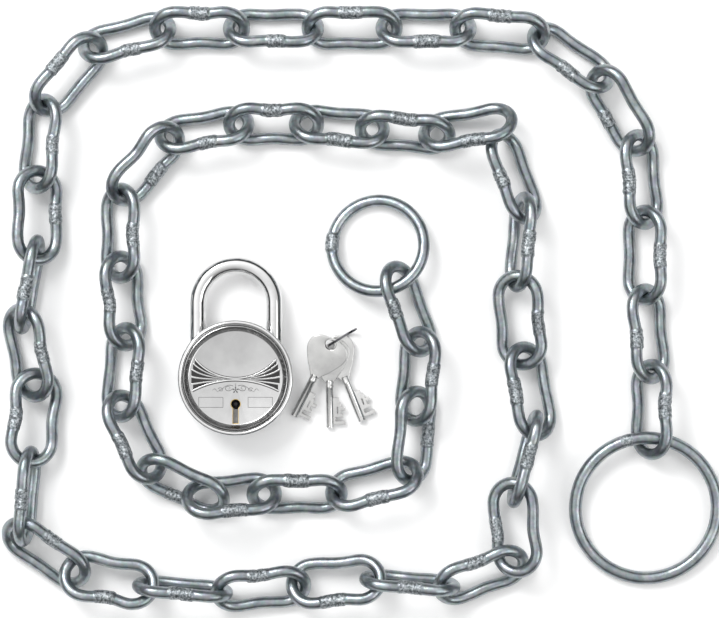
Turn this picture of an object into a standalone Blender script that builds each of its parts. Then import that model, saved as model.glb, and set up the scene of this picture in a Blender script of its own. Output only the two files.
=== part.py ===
"""Chain lock: a welded steel chain with a ring on each end, a round lever padlock and its three keys.

The chain lies on the ground in a spiral, outer end first: each link is hooked through the one before
it, leans on one long side, and touches the ground. Units are metres, +Z is up, and the origin is the
middle of the bottom of the whole object's box.
"""
import math

import bmesh
import bpy
from mathutils import Matrix, Vector

MM = 0.001

# Chain
WIRE = 6.0 * MM
LINK_LENGTH = 50.5 * MM
LINK_WIDTH = 27.0 * MM
HOOK_GAP = 0.8 * MM
FUSE_DEPTH = 0.6 * MM
TIP_SPAN = LINK_LENGTH - WIRE
CROWN_RADIUS = (LINK_WIDTH - WIRE) / 2
CROWN_STEPS = 5

LARGE_RING_OD = 77.0 * MM
LARGE_RING_WIRE = 6.5 * MM
SMALL_RING_OD = 52.0 * MM
SMALL_RING_WIRE = 6.0 * MM

# One row for each link, from the large ring to the small one: its heading, the lean of its flat about
# that heading (45 puts its left side high, 135 its right side, 90 stands it on edge), and the slack to
# the next link in millimetres.
RIGHT_SIDE_UP = [(90, 130, 0), (95, 45, 0), (90, 135, 0), (95, 45, 1)]
TOP_RIGHT_BEND = [(120, 135, 1), (145, 45, 0)]
TOP_RUN = [(175, 135, 1), (180, 45, 1), (180, 135, 1), (180, 45, 1), (180, 135, 1)]
TOP_LEFT_BEND = [(195, 45, 2), (230, 135, 1), (265, 45, 2)]
LEFT_SIDE_DOWN = [(270, 150, 3), (260, 95, 3), (280, 40, 5), (265, 160, 0), (265, 100, 3)]
BOTTOM_RUN = [(325, 40, 3), (350, 155, 1), (355, 100, 0), (5, 40, 0), (5, 155, 1), (355, 100, 1),
              (20, 40, 2)]
INNER_RIGHT_UP = [(95, 155, 3), (75, 95, 3), (100, 40, 2), (95, 155, 0), (85, 110, 4)]
INNER_TOP_BEND = [(110, 50, 5), (190, 45, 6), (175, 130, 5)]
INNER_TOP_RUN = [(175, 45, 5), (180, 135, 3), (190, 45, 2), (230, 135, 0)]
INNER_LEFT_DOWN = [(270, 45, 4), (275, 135, 2), (265, 45, 4), (295, 135, 2)]
INNER_BOTTOM_RUN = [(335, 45, 12), (5, 135, 5), (0, 45, 0), (15, 135, 0)]
INNER_END = [(85, 45, 8), (85, 135, 3), (110, 50, 3)]
LINKS = (RIGHT_SIDE_UP + TOP_RIGHT_BEND + TOP_RUN + TOP_LEFT_BEND + LEFT_SIDE_DOWN + BOTTOM_RUN
         + INNER_RIGHT_UP + INNER_TOP_BEND + INNER_TOP_RUN + INNER_LEFT_DOWN + INNER_BOTTOM_RUN
         + INNER_END)
LARGE_RING_HEADING = 85
LARGE_RING_SLACK = 1.0
SMALL_RING_HEADING = 125
BASE_LINK = 24
# The first link of each pair whose crowns are seized together
FUSED_PAIRS = (2, 6, 9, 13, 18, 22, 30, 38, 45)

# Padlock, in its own frame: X across, Y towards the shackle, Z up from its flat back
PADLOCK_FROM_RING = Vector((-70.5 * MM, -65.5 * MM, 0.0))
CASE_RADIUS = 28.25 * MM
CASE_WALL = 1.5 * MM
CASE_HEIGHT = 18.0 * MM
CASE_CORNER = 5.0 * MM
PADLOCK_HEIGHT = 21.5 * MM
BEZEL_INNER = 26.0 * MM
BEZEL_OUTER = 28.5 * MM
FACE_RADIUS = 23.4 * MM
FACE_HEIGHT = 18.5 * MM
COVER_RADIUS = BEZEL_INNER - 0.3 * MM
COVER_SHEET = 1.0 * MM
GAP = 0.3 * MM
SHACKLE_WIRE = 8.0 * MM
SHACKLE_HALF = 19.0 * MM
SHACKLE_PLANE = 10.75 * MM
SHACKLE_TOP = 60.0 * MM
HEEL_END = -3.0 * MM
TOE_END = 6.5 * MM
LEG_HOLE_DEPTH = 36.0 * MM
NOTCH_DEPTH = 3.2 * MM
KEYHOLE_Y = -13.0 * MM
KEYHOLE_RADIUS = 2.6 * MM
KEYHOLE_SLOT = 3.1 * MM
KEYHOLE_END = -22.8 * MM
BOLT_WIDTH = 3.0 * MM
BOLT_TOP = 12.5 * MM
BOLT_TIP = 14.6 * MM
STUMP = Vector((0.0, 4.0 * MM, 0.0))
STUMP_RADIUS = 1.2 * MM
LEVER_PIVOT = Vector((-11.2 * MM, 2.0 * MM, 0.0))
LEVER_SHEET = 0.9 * MM
LEVER_PITCH = 1.2 * MM
LEVER_BASE = 12.55 * MM
POST_RADIUS = 1.3 * MM

# Keys, each in its own frame: the ring hole at the origin, the stem along -Y, its bit on the +X side
KEYS_FROM_RING = Vector((-24.5 * MM, -49.5 * MM, 0.0))
BOW_RADIUS = 10.0 * MM
BOW_CENTRE = -6.0 * MM
BOW_NECK = 3.2 * MM
BOW_SHEET = 1.7 * MM
KEY_HOLE_RADIUS = 2.8 * MM
STEM_RADIUS = 2.0 * MM
STEM_START = -18.5 * MM
STEM_END = -41.5 * MM
STEM_BORE = 1.2 * MM
STEM_BORE_DEPTH = 12.0 * MM
BIT_REACH = 7.8 * MM
BIT_SHEET = 1.9 * MM
KEY_FANS = (22, 1, -27)
KEY_STACK = 4.3 * MM
KEY_LOWEST = 4.0 * MM
KEY_RING_RADIUS = 7.9 * MM
KEY_RING_WIRE = 1.1 * MM
KEY_RING_HEADING = 31


def flat_direction(heading):
    """The level direction of a heading in degrees."""
    angle = math.radians(heading)
    return Vector((math.cos(angle), math.sin(angle), 0.0))


class Hoop:
    """A link or a ring on the ground: its size, its heading and lean, and where its two tips are."""

    def __init__(self, name, span, half_width, wire, heading, lean, slack):
        self.name = name
        self.span = span
        self.half_width = half_width
        self.wire = wire
        self.heading = heading
        self.lean = math.radians(lean)
        self.slack = slack
        self.rise = 0.0
        self.back = Vector()
        self.front = Vector()
        self.aim()

    def aim(self):
        """Works out its directions: along, and across to its left-hand long side."""
        level = flat_direction(self.heading)
        left = flat_direction(self.heading + 90)
        slope = math.asin(self.rise / self.span)
        self.along = level * math.cos(slope) + Vector((0, 0, math.sin(slope)))
        up = self.along.cross(left)
        self.across = left * math.cos(self.lean) + up * math.sin(self.lean)

    def tip_height(self):
        """How high a tip's wire is when the low long side touches the ground."""
        return self.half_width * abs(math.sin(self.lean)) + self.wire / 2


def hook_direction(first, second):
    """The direction from the second hoop's crown to the first's, square to both wires."""
    normal = first.across.cross(second.across).normalized()
    if normal.dot(first.along + second.along) < 0:
        normal = -normal
    return normal


def hook_distance(first, second, fused):
    """How far apart the two crowns' wires are."""
    touching = (first.wire + second.wire) / 2
    return touching - FUSE_DEPTH if fused else touching + HOOK_GAP + first.slack * MM


def lay_chain():
    """Lays the whole chain: each hoop hooked in the one before it and resting on the ground."""
    ring_span = LARGE_RING_OD - LARGE_RING_WIRE
    hoops = [Hoop("large_ring", ring_span, 0.0, LARGE_RING_WIRE, LARGE_RING_HEADING, 0,
                  LARGE_RING_SLACK)]
    for number, (heading, lean, slack) in enumerate(LINKS, start=1):
        hoops.append(Hoop(f"link_{number:02d}", TIP_SPAN, CROWN_RADIUS, WIRE, heading, lean, slack))
    ring_span = SMALL_RING_OD - SMALL_RING_WIRE
    hoops.append(Hoop("small_ring", ring_span, 0.0, SMALL_RING_WIRE, SMALL_RING_HEADING, 0, 0.0))
    for _ in range(6):
        level_tips(hoops)
    for first, second in zip(hoops, hoops[1:]):
        first.front = first.back + first.along * first.span
        fused = is_fused(first)
        second.back = first.front - hook_direction(first, second) * hook_distance(first, second, fused)
    hoops[-1].front = hoops[-1].back + hoops[-1].along * hoops[-1].span
    lift = hoops[0].tip_height() - hoops[0].back.z
    for hoop in hoops:
        hoop.back.z += lift
        hoop.front.z += lift
    return hoops


def is_fused(hoop):
    """Whether a link is seized to the next one."""
    return hoop.name in {f"link_{number:02d}" for number in FUSED_PAIRS}


def level_tips(hoops):
    """Tilts every hoop so that at each hook both neighbours are just clear of the ground."""
    back_heights = [hoops[0].tip_height()]
    front_heights = []
    for first, second in zip(hoops, hoops[1:]):
        drop = hook_direction(first, second).z * hook_distance(first, second, is_fused(first))
        middle = max(first.tip_height() - drop / 2, second.tip_height() + drop / 2)
        front_heights.append(middle + drop / 2)
        back_heights.append(middle - drop / 2)
    front_heights.append(hoops[-1].tip_height())
    for hoop, back, front in zip(hoops, back_heights, front_heights):
        hoop.rise = front - back
        hoop.aim()


# Scene helpers

def clear_scene():
    for old in list(bpy.data.objects):
        bpy.data.objects.remove(old, do_unlink=True)


def make_collection(name):
    collection = bpy.data.collections.new(name)
    bpy.context.scene.collection.children.link(collection)
    return collection


def make_material(name, colour, metallic, roughness):
    material = bpy.data.materials.new(name)
    material.use_nodes = True
    shader = material.node_tree.nodes["Principled BSDF"]
    shader.inputs["Base Color"].default_value = (*colour, 1.0)
    shader.inputs["Metallic"].default_value = metallic
    shader.inputs["Roughness"].default_value = roughness
    return material


def frame_of(origin, x_axis, y_axis):
    """A placement with its X and Y axes along two directions square to each other."""
    z_axis = x_axis.cross(y_axis)
    rotation = Matrix((x_axis, y_axis, z_axis)).transposed().to_4x4()
    return Matrix.Translation(origin) @ rotation


def add_object(name, data, collection, material, placement=None):
    if data.materials:
        data.materials[0] = material
    else:
        data.materials.append(material)
    piece = bpy.data.objects.new(name, data)
    collection.objects.link(piece)
    if placement is not None:
        piece.matrix_world = placement
    return piece


def wire_curve(name, points, wire, cyclic=False):
    """A round wire along a polyline."""
    curve = bpy.data.curves.new(name, "CURVE")
    curve.dimensions = "3D"
    curve.bevel_depth = wire / 2
    curve.bevel_resolution = 2
    curve.use_fill_caps = True
    spline = curve.splines.new("POLY")
    spline.points.add(len(points) - 1)
    for spot, point in zip(spline.points, points):
        spot.co = (*point, 1.0)
    spline.use_cyclic_u = cyclic
    return curve


def as_mesh(piece, collection):
    """Turns a curve object into a mesh object of the same name and place, with its caps welded."""
    bpy.context.view_layer.update()
    evaluated = piece.evaluated_get(bpy.context.evaluated_depsgraph_get())
    mesh = bpy.data.meshes.new_from_object(evaluated)
    name = piece.name
    placement = piece.matrix_world.copy()
    bpy.data.objects.remove(piece, do_unlink=True)
    body = bmesh.new()
    body.from_mesh(mesh)
    bmesh.ops.remove_doubles(body, verts=body.verts, dist=1e-6)
    body.to_mesh(mesh)
    body.free()
    solid = bpy.data.objects.new(name, mesh)
    collection.objects.link(solid)
    solid.matrix_world = placement
    return solid


def boolean(piece, tool, operation):
    cut = piece.modifiers.new(operation.title(), "BOOLEAN")
    cut.operation = operation
    cut.object = tool
    cut.solver = "EXACT"


def hide_tool(tool, tools):
    """Moves an object that only shapes others into the cutters' collection."""
    for owner in list(tool.users_collection):
        owner.objects.unlink(tool)
    tools.objects.link(tool)
    tool.hide_render = True
    tool.display_type = "WIRE"


# Chain pieces

def crown_loop():
    """The wire's middle line of a link, from one tip at the origin to the other along +X."""
    points = []
    for centre_x, start in ((TIP_SPAN - CROWN_RADIUS, -90), (CROWN_RADIUS, 90)):
        for step in range(CROWN_STEPS + 1):
            angle = math.radians(start + 180 * step / CROWN_STEPS)
            points.append((centre_x + CROWN_RADIUS * math.cos(angle), CROWN_RADIUS * math.sin(angle), 0.0))
    return points


def placed(hoop, turned):
    """A hoop's placement, with its origin at its back tip or, turned, at its front tip."""
    if turned:
        return frame_of(hoop.front, -hoop.along, hoop.across)
    return frame_of(hoop.back, hoop.along, hoop.across)


def add_links(hoops, parts, tools, steel):
    """Every link; each has its origin on the side of the base link, where its joint is."""
    curve = wire_curve("link_wire", crown_loop(), WIRE, cyclic=True)
    number = 1
    while number <= len(LINKS):
        turned = number < BASE_LINK
        hoop = hoops[number]
        if number not in FUSED_PAIRS:
            add_object(hoop.name, curve, parts, steel, placed(hoop, turned))
            number += 1
            continue
        near, far = (hoops[number + 1], hoop) if turned else (hoop, hoops[number + 1])
        pair = as_mesh(add_object(f"link_{number:02d}_{number + 1:02d}", curve.copy(), parts, steel,
                                  placed(near, turned)), parts)
        mate = as_mesh(add_object("seized_mate", curve.copy(), parts, steel, placed(far, turned)), parts)
        hide_tool(mate, tools)
        boolean(pair, mate, "UNION")
        number += 2


def add_ring(hoop, wire, segments, turned, parts, steel):
    """A welded ring with its origin on its wire, where the chain's end link holds it."""
    radius = hoop.span / 2
    bpy.ops.mesh.primitive_torus_add(major_segments=segments, minor_segments=8, major_radius=radius,
                                     minor_radius=wire / 2)
    ring = bpy.context.active_object
    ring.name = hoop.name
    ring.data.name = hoop.name
    ring.data.transform(Matrix.Translation((radius, 0, 0)))
    ring.data.materials.append(steel)
    for owner in list(ring.users_collection):
        owner.objects.unlink(ring)
    parts.objects.link(ring)
    ring.matrix_world = placed(hoop, turned)
    ring.data.shade_smooth()


# Padlock pieces

def spun(name, profile, segments, collection, material, placement, closed=False):
    """A turned solid: points of radius and height, down the outer side, spun about Z."""
    mesh = bpy.data.meshes.new(name)
    edges = [(i, i + 1) for i in range(len(profile) - 1)]
    if closed:
        edges.append((len(profile) - 1, 0))
    mesh.from_pydata([(radius, 0.0, height) for radius, height in profile], edges, [])
    piece = add_object(name, mesh, collection, material, placement)
    screw = piece.modifiers.new("Screw", "SCREW")
    screw.steps = segments
    screw.render_steps = segments
    screw.use_merge_vertices = True
    screw.merge_threshold = 1e-6
    return piece


def cylinder_tool(name, radius, depth, placement, tools, segments=20):
    """A cylinder along its own Z that cuts or joins."""
    mesh = bpy.data.meshes.new(name)
    body = bmesh.new()
    bmesh.ops.create_cone(body, cap_ends=True, segments=segments, radius1=radius, radius2=radius,
                          depth=depth)
    body.to_mesh(mesh)
    body.free()
    tool = bpy.data.objects.new(name, mesh)
    tool.matrix_world = placement
    tool.hide_render = True
    tool.display_type = "WIRE"
    tools.objects.link(tool)
    return tool


def box_mesh(name, low, high):
    """A box between two corners."""
    mesh = bpy.data.meshes.new(name)
    body = bmesh.new()
    bmesh.ops.create_cube(body, size=1.0)
    size = Vector(high) - Vector(low)
    middle = (Vector(high) + Vector(low)) / 2
    bmesh.ops.transform(body, verts=body.verts, matrix=Matrix.Translation(middle) @ Matrix.Diagonal(
        (*size, 1.0)))
    body.to_mesh(mesh)
    body.free()
    return mesh


def box_tool(name, low, high, placement, tools):
    tool = bpy.data.objects.new(name, box_mesh(name, low, high))
    tool.matrix_world = placement
    tool.hide_render = True
    tool.display_type = "WIRE"
    tools.objects.link(tool)
    return tool


def flat_outline(name, loops, sheet):
    """A flat piece from an outer outline and its holes, of a given thickness about Z = 0."""
    curve = bpy.data.curves.new(name, "CURVE")
    curve.dimensions = "2D"
    curve.fill_mode = "BOTH"
    curve.extrude = sheet / 2
    for loop in loops:
        spline = curve.splines.new("POLY")
        spline.points.add(len(loop) - 1)
        for spot, point in zip(spline.points, loop):
            spot.co = (point[0], point[1], 0.0, 1.0)
        spline.use_cyclic_u = True
    return curve


def circle_points(centre, radius, count):
    return [(centre[0] + radius * math.cos(2 * math.pi * i / count),
             centre[1] + radius * math.sin(2 * math.pi * i / count)) for i in range(count)]


def in_mm(points):
    return [(x * MM, y * MM) for x, y in points]


def add_case(lock, parts, tools, steel):
    inner = CASE_RADIUS - CASE_WALL
    profile = [(0.0, CASE_WALL), (inner - 2 * MM, CASE_WALL), (inner, CASE_WALL + 2 * MM),
               (inner, CASE_HEIGHT), (CASE_RADIUS, CASE_HEIGHT), (CASE_RADIUS, CASE_CORNER)]
    for step in range(1, 4):
        angle = math.radians(30 * step)
        profile.append((CASE_RADIUS - CASE_CORNER * (1 - math.cos(angle)),
                        CASE_CORNER * (1 - math.sin(angle))))
    profile.append((0.0, 0.0))
    case = spun("padlock_case", profile, 32, parts, steel, lock)
    for side in (-1, 1):
        spot = Vector((side * SHACKLE_HALF, CASE_RADIUS, SHACKLE_PLANE))
        place = lock @ Matrix.Translation(spot) @ Matrix.Rotation(math.radians(90), 4, "X")
        hole = cylinder_tool(f"leg_hole_{side}", SHACKLE_WIRE / 2 + GAP, LEG_HOLE_DEPTH, place, tools)
        boolean(case, hole, "DIFFERENCE")


def add_bezel(lock, parts, steel):
    top = PADLOCK_HEIGHT
    low = CASE_HEIGHT + GAP
    profile = [(BEZEL_INNER, top - 0.5 * MM), (BEZEL_INNER + 0.6 * MM, top), (BEZEL_OUTER - 0.8 * MM, top),
               (BEZEL_OUTER, top - 0.9 * MM), (BEZEL_OUTER, low), (BEZEL_INNER, low)]
    spun("padlock_bezel", profile, 32, parts, steel, lock, closed=True)


def cut_keyhole(piece, lock, clearance, tools):
    """Cuts a round hole with a slot below it."""
    name = piece.name
    spot = lock @ Matrix.Translation((0.0, KEYHOLE_Y, FACE_HEIGHT))
    bore = cylinder_tool(f"{name}_bore", KEYHOLE_RADIUS + clearance, 8 * MM, spot, tools)
    half = KEYHOLE_SLOT / 2 + clearance
    slot = box_tool(f"{name}_slot", (-half, KEYHOLE_END - clearance, FACE_HEIGHT - 4 * MM),
                    (half, KEYHOLE_Y, FACE_HEIGHT + 4 * MM), lock, tools)
    boolean(slot, bore, "UNION")
    boolean(piece, slot, "DIFFERENCE")


def add_cover(lock, parts, tools, chrome):
    rim = PADLOCK_HEIGHT - 0.3 * MM
    under = FACE_HEIGHT - COVER_SHEET
    profile = [(0.0, FACE_HEIGHT), (FACE_RADIUS, FACE_HEIGHT), (COVER_RADIUS - 0.3 * MM, rim),
               (COVER_RADIUS, rim), (COVER_RADIUS, rim - 1.2 * MM), (FACE_RADIUS + 0.8 * MM, under),
               (0.0, under)]
    cover = spun("front_cover", profile, 32, parts, chrome, lock)
    cut_keyhole(cover, lock, 0.0, tools)


def add_keyhole_plate(lock, parts, tools, brass):
    top = FACE_HEIGHT - COVER_SHEET - GAP
    mesh = box_mesh("keyhole_plate", (-7 * MM, -24.4 * MM, top - 1 * MM), (7 * MM, -8 * MM, top))
    plate = add_object("keyhole_plate", mesh, parts, brass, lock)
    cut_keyhole(plate, lock, -0.3 * MM, tools)


def add_shackle(lock, parts, tools, chrome):
    """The shackle's U, with a notch for the bolt; its origin is between its legs."""
    bend = SHACKLE_TOP - SHACKLE_WIRE / 2 - SHACKLE_HALF
    points = [(-SHACKLE_HALF, HEEL_END, 0.0)]
    for step in range(13):
        angle = math.radians(180 - 15 * step)
        points.append((SHACKLE_HALF * math.cos(angle), bend + SHACKLE_HALF * math.sin(angle), 0.0))
    points.append((SHACKLE_HALF, TOE_END, 0.0))
    curve = wire_curve("shackle", points, SHACKLE_WIRE)
    curve.bevel_resolution = 3
    place = lock @ Matrix.Translation((0.0, 0.0, SHACKLE_PLANE))
    shackle = as_mesh(add_object("shackle", curve, parts, chrome, place), parts)
    inner_side = SHACKLE_HALF - SHACKLE_WIRE / 2
    notch = box_tool("shackle_notch", (inner_side - 2 * MM, BOLT_TOP - BOLT_WIDTH - 0.9 * MM, -5 * MM),
                     (inner_side + NOTCH_DEPTH + GAP, BOLT_TOP + 0.5 * MM, 5 * MM), place, tools)
    boolean(shackle, notch, "DIFFERENCE")


def add_bolt(lock, parts, tools, steel):
    """The bolt: a bar with its head at the toe leg, a tail with a notch for the key, and a stump."""
    low = BOLT_TOP - BOLT_WIDTH
    bar = [(5 * MM, low), (BOLT_TIP, low), (BOLT_TIP, BOLT_TOP), (-8 * MM, BOLT_TOP),
           (-8 * MM, low + 0.5 * MM), (-5 * MM, low + 0.5 * MM)]
    tail = in_mm([(-5.0, -6.2), (-2.6, -6.2), (-2.6, -3.2), (2.6, -3.2), (2.6, -6.2), (5.0, -6.2)])
    place = lock @ Matrix.Translation((0.0, 0.0, SHACKLE_PLANE))
    curve = flat_outline("locking_bolt", [bar + tail], BOLT_WIDTH)
    bolt = as_mesh(add_object("locking_bolt", curve, parts, steel, place), parts)
    levers_top = LEVER_BASE + 2 * LEVER_PITCH + LEVER_SHEET
    reach = levers_top - SHACKLE_PLANE
    stump = cylinder_tool("bolt_stump", STUMP_RADIUS, reach,
                          place @ Matrix.Translation(STUMP + Vector((0, 0, reach / 2))), tools, 12)
    boolean(bolt, stump, "UNION")


def add_levers(lock, parts, steel):
    """Three levers stacked on one post, each with a window for the bolt's stump."""
    outline = in_mm([(-2.9, -1.8), (-1.6, -3.0), (5.5, -4.2), (7.5, -7.2), (15.0, -7.2), (17.5, -3.2),
                     (20.2, -2.6), (20.2, 5.0), (17.8, 6.2), (-0.5, 6.2), (-2.9, 3.6)])
    window = [(STUMP.x - LEVER_PIVOT.x + x * MM, STUMP.y - LEVER_PIVOT.y + y * MM)
              for x, y in ((-2.0, -4.4), (5.4, -4.4), (5.4, 1.9), (-2.0, 1.9))]
    hole = circle_points((0.0, 0.0), POST_RADIUS + GAP, 12)
    for index in range(3):
        height = LEVER_BASE + index * LEVER_PITCH + LEVER_SHEET / 2
        curve = flat_outline(f"lever_{index + 1}", [outline, window, hole], LEVER_SHEET)
        place = lock @ Matrix.Translation(LEVER_PIVOT + Vector((0, 0, height)))
        as_mesh(add_object(f"lever_{index + 1}", curve, parts, steel, place), parts)


def add_posts(lock, parts, steel):
    """The levers' post and the pin that the key's tube goes over, each with a foot."""
    floor = CASE_WALL + GAP
    for name, centre, radius, foot, top in (
            ("lever_post", LEVER_PIVOT, POST_RADIUS, 2.4 * MM, 16.3 * MM),
            ("key_pin", Vector((0, KEYHOLE_Y, 0)), 0.9 * MM, 3.0 * MM, 15.0 * MM)):
        profile = [(0.0, top), (radius, top), (radius, floor + 1 * MM), (foot, floor + 1 * MM),
                   (foot, floor), (0.0, floor)]
        spun(name, profile, 12, parts, steel, lock @ Matrix.Translation(centre))


def coil_points(radius, length, turns, steps):
    """A coil's middle line along +Z."""
    count = int(turns * steps)
    return [(radius * math.cos(2 * math.pi * i / steps), radius * math.sin(2 * math.pi * i / steps),
             length * i / count) for i in range(count + 1)]


def add_springs(lock, parts, steel):
    """The coil under the shackle's captive leg, and the coil round the levers' post."""
    wire = 0.8 * MM
    place = lock @ Matrix.Translation((-SHACKLE_HALF, HEEL_END - GAP - wire / 2, SHACKLE_PLANE))
    place = place @ Matrix.Rotation(math.radians(90), 4, "X")
    curve = wire_curve("shackle_spring", coil_points(2.6 * MM, 7 * MM, 4, 10), wire)
    add_object("shackle_spring", curve, parts, steel, place)
    place = lock @ Matrix.Translation(LEVER_PIVOT + Vector((0, 0, 4.0 * MM)))
    curve = wire_curve("lever_spring", coil_points(2.3 * MM, 4.5 * MM, 3, 10), wire)
    add_object("lever_spring", curve, parts, steel, place)


def add_bolt_guide(lock, parts, steel):
    """The rail on the case's floor that the bolt's far edge runs along."""
    low = (-9 * MM, BOLT_TOP + GAP, CASE_WALL + GAP)
    high = (8 * MM, BOLT_TOP + 2.3 * MM, SHACKLE_PLANE + BOLT_WIDTH / 2)
    guide = add_object("bolt_guide", box_mesh("bolt_guide", low, high), parts, steel, lock)
    bevel = guide.modifiers.new("Bevel", "BEVEL")
    bevel.width = 0.3 * MM
    bevel.segments = 1


# Keys

def bow_points(count):
    """A rounded triangle whose lowest corner reaches down as a neck for the stem."""
    points = []
    for i in range(count):
        angle = 2 * math.pi * i / count
        radius = BOW_RADIUS * (1 + 0.1 * math.cos(3 * (angle + math.pi / 2)))
        radius += BOW_NECK * max(0.0, math.cos(angle + math.pi / 2)) ** 30
        points.append((radius * math.cos(angle), BOW_CENTRE + radius * math.sin(angle)))
    return points


def bit_points():
    """The bit's stepped edge, from the stem's middle outwards."""
    reach = BIT_REACH / MM
    steps = [(-26.5, 0.6), (-29.0, 0.72), (-31.4, 1.0), (-33.0, 0.7), (-34.8, 0.85), (-36.4, 0.35),
             (-38.4, 1.0), (-40.2, 0.8)]
    points = [(0.0, steps[0][0])]
    for (start, depth), (end, _) in zip(steps, steps[1:]):
        points += [(reach * depth, start), (reach * depth, end)]
    points.append((0.0, steps[-1][0]))
    return in_mm(points)


def add_key(number, place, parts, tools, nickel):
    name = f"key_{number}"
    hole = circle_points((0.0, 0.0), KEY_HOLE_RADIUS, 12)
    curve = flat_outline(name, [bow_points(24), hole], BOW_SHEET)
    key = as_mesh(add_object(name, curve, parts, nickel, place), parts)
    bit = as_mesh(add_object(f"{name}_bit", flat_outline("bit", [bit_points()], BIT_SHEET), parts, nickel,
                             place), parts)
    hide_tool(bit, tools)
    along = Matrix.Rotation(math.radians(90), 4, "X")
    middle = Matrix.Translation((0.0, (STEM_START + STEM_END) / 2, 0.0))
    stem = cylinder_tool(f"{name}_stem", STEM_RADIUS, STEM_START - STEM_END, place @ middle @ along, tools,
                         12)
    mouth = Matrix.Translation((0.0, STEM_END, 0.0))
    bore = cylinder_tool(f"{name}_bore", STEM_BORE, 2 * STEM_BORE_DEPTH, place @ mouth @ along, tools, 8)
    boolean(key, stem, "UNION")
    boolean(key, bit, "UNION")
    boolean(key, bore, "DIFFERENCE")


def add_keys(hang, parts, tools, nickel):
    """Three keys fanned out on an upright split ring, their stems' ends on the ground."""
    middle = KEY_RING_RADIUS + KEY_RING_WIRE / 2
    for index, fan in enumerate(KEY_FANS):
        height = KEY_LOWEST + index * KEY_STACK
        dip = math.asin((height - STEM_RADIUS) / -STEM_END)
        bulge = KEY_RING_RADIUS - math.sqrt(KEY_RING_RADIUS ** 2 - (height - middle) ** 2)
        spot = flat_direction(KEY_RING_HEADING) * bulge + Vector((0, 0, height))
        place = hang @ Matrix.Translation(spot) @ Matrix.Rotation(math.radians(fan), 4, "Z")
        add_key(index + 1, place @ Matrix.Rotation(dip, 4, "X"), parts, tools, nickel)
    bpy.ops.mesh.primitive_torus_add(major_segments=24, minor_segments=6, major_radius=KEY_RING_RADIUS,
                                     minor_radius=KEY_RING_WIRE / 2)
    ring = bpy.context.active_object
    ring.name = "key_ring"
    ring.data.name = "key_ring"
    ring.data.transform(Matrix.Translation((KEY_RING_RADIUS, 0, 0)))
    ring.data.materials.append(nickel)
    for owner in list(ring.users_collection):
        owner.objects.unlink(ring)
    parts.objects.link(ring)
    ring.matrix_world = (hang @ Matrix.Translation((0, 0, middle))
                         @ Matrix.Rotation(math.radians(KEY_RING_HEADING), 4, "Z")
                         @ Matrix.Rotation(math.radians(90), 4, "X"))


def centre_on_ground(parts):
    """Moves everything so that the origin is the middle of the bottom of the whole object's box."""
    bpy.context.view_layer.update()
    graph = bpy.context.evaluated_depsgraph_get()
    low = Vector((math.inf,) * 3)
    high = Vector((-math.inf,) * 3)
    for piece in parts.objects:
        evaluated = piece.evaluated_get(graph)
        mesh = evaluated.to_mesh()
        for vertex in mesh.vertices:
            spot = evaluated.matrix_world @ vertex.co
            low = Vector(map(min, low, spot))
            high = Vector(map(max, high, spot))
        evaluated.to_mesh_clear()
    shift = -Vector(((low.x + high.x) / 2, (low.y + high.y) / 2, low.z))
    for piece in bpy.data.objects:
        piece.location += shift
    return shift


def main():
    clear_scene()
    parts = make_collection("chain_lock")
    tools = make_collection("cutters")
    galvanised = make_material("galvanised_steel", (0.55, 0.58, 0.60), 1.0, 0.35)
    chrome = make_material("padlock_chrome", (0.80, 0.80, 0.80), 1.0, 0.18)
    sheet = make_material("inner_steel", (0.50, 0.50, 0.50), 1.0, 0.40)
    brass = make_material("brass", (0.75, 0.58, 0.25), 1.0, 0.30)
    nickel = make_material("key_nickel", (0.72, 0.71, 0.69), 1.0, 0.28)
    hoops = lay_chain()
    add_links(hoops, parts, tools, galvanised)
    add_ring(hoops[0], LARGE_RING_WIRE, 36, True, parts, galvanised)
    add_ring(hoops[-1], SMALL_RING_WIRE, 28, False, parts, galvanised)
    ring_centre = (hoops[-1].back + hoops[-1].front) / 2
    ring_centre.z = 0.0
    lock = Matrix.Translation(ring_centre + PADLOCK_FROM_RING)
    add_case(lock, parts, tools, chrome)
    add_bezel(lock, parts, chrome)
    add_cover(lock, parts, tools, chrome)
    add_keyhole_plate(lock, parts, tools, brass)
    add_shackle(lock, parts, tools, chrome)
    add_bolt(lock, parts, tools, sheet)
    add_levers(lock, parts, sheet)
    add_posts(lock, parts, sheet)
    add_springs(lock, parts, sheet)
    add_bolt_guide(lock, parts, sheet)
    hang = Matrix.Translation(ring_centre + KEYS_FROM_RING)
    add_keys(hang, parts, tools, nickel)
    shift = centre_on_ground(parts)
    return hoops, lock, hang, shift


if __name__ == "__main__":
    main()
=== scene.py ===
"""Looks of the chain lock: finely made links, rings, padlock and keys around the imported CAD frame.

Lengths are metres unless a name ends in _MM. The chain is laid by the same rules as in the CAD model,
then moved as a whole to the large ring's CAD node. The padlock and keys are placed from the small ring.
"""
import math

import bmesh
import bpy
import numpy as np
from mathutils import Matrix, Vector, noise


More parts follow.
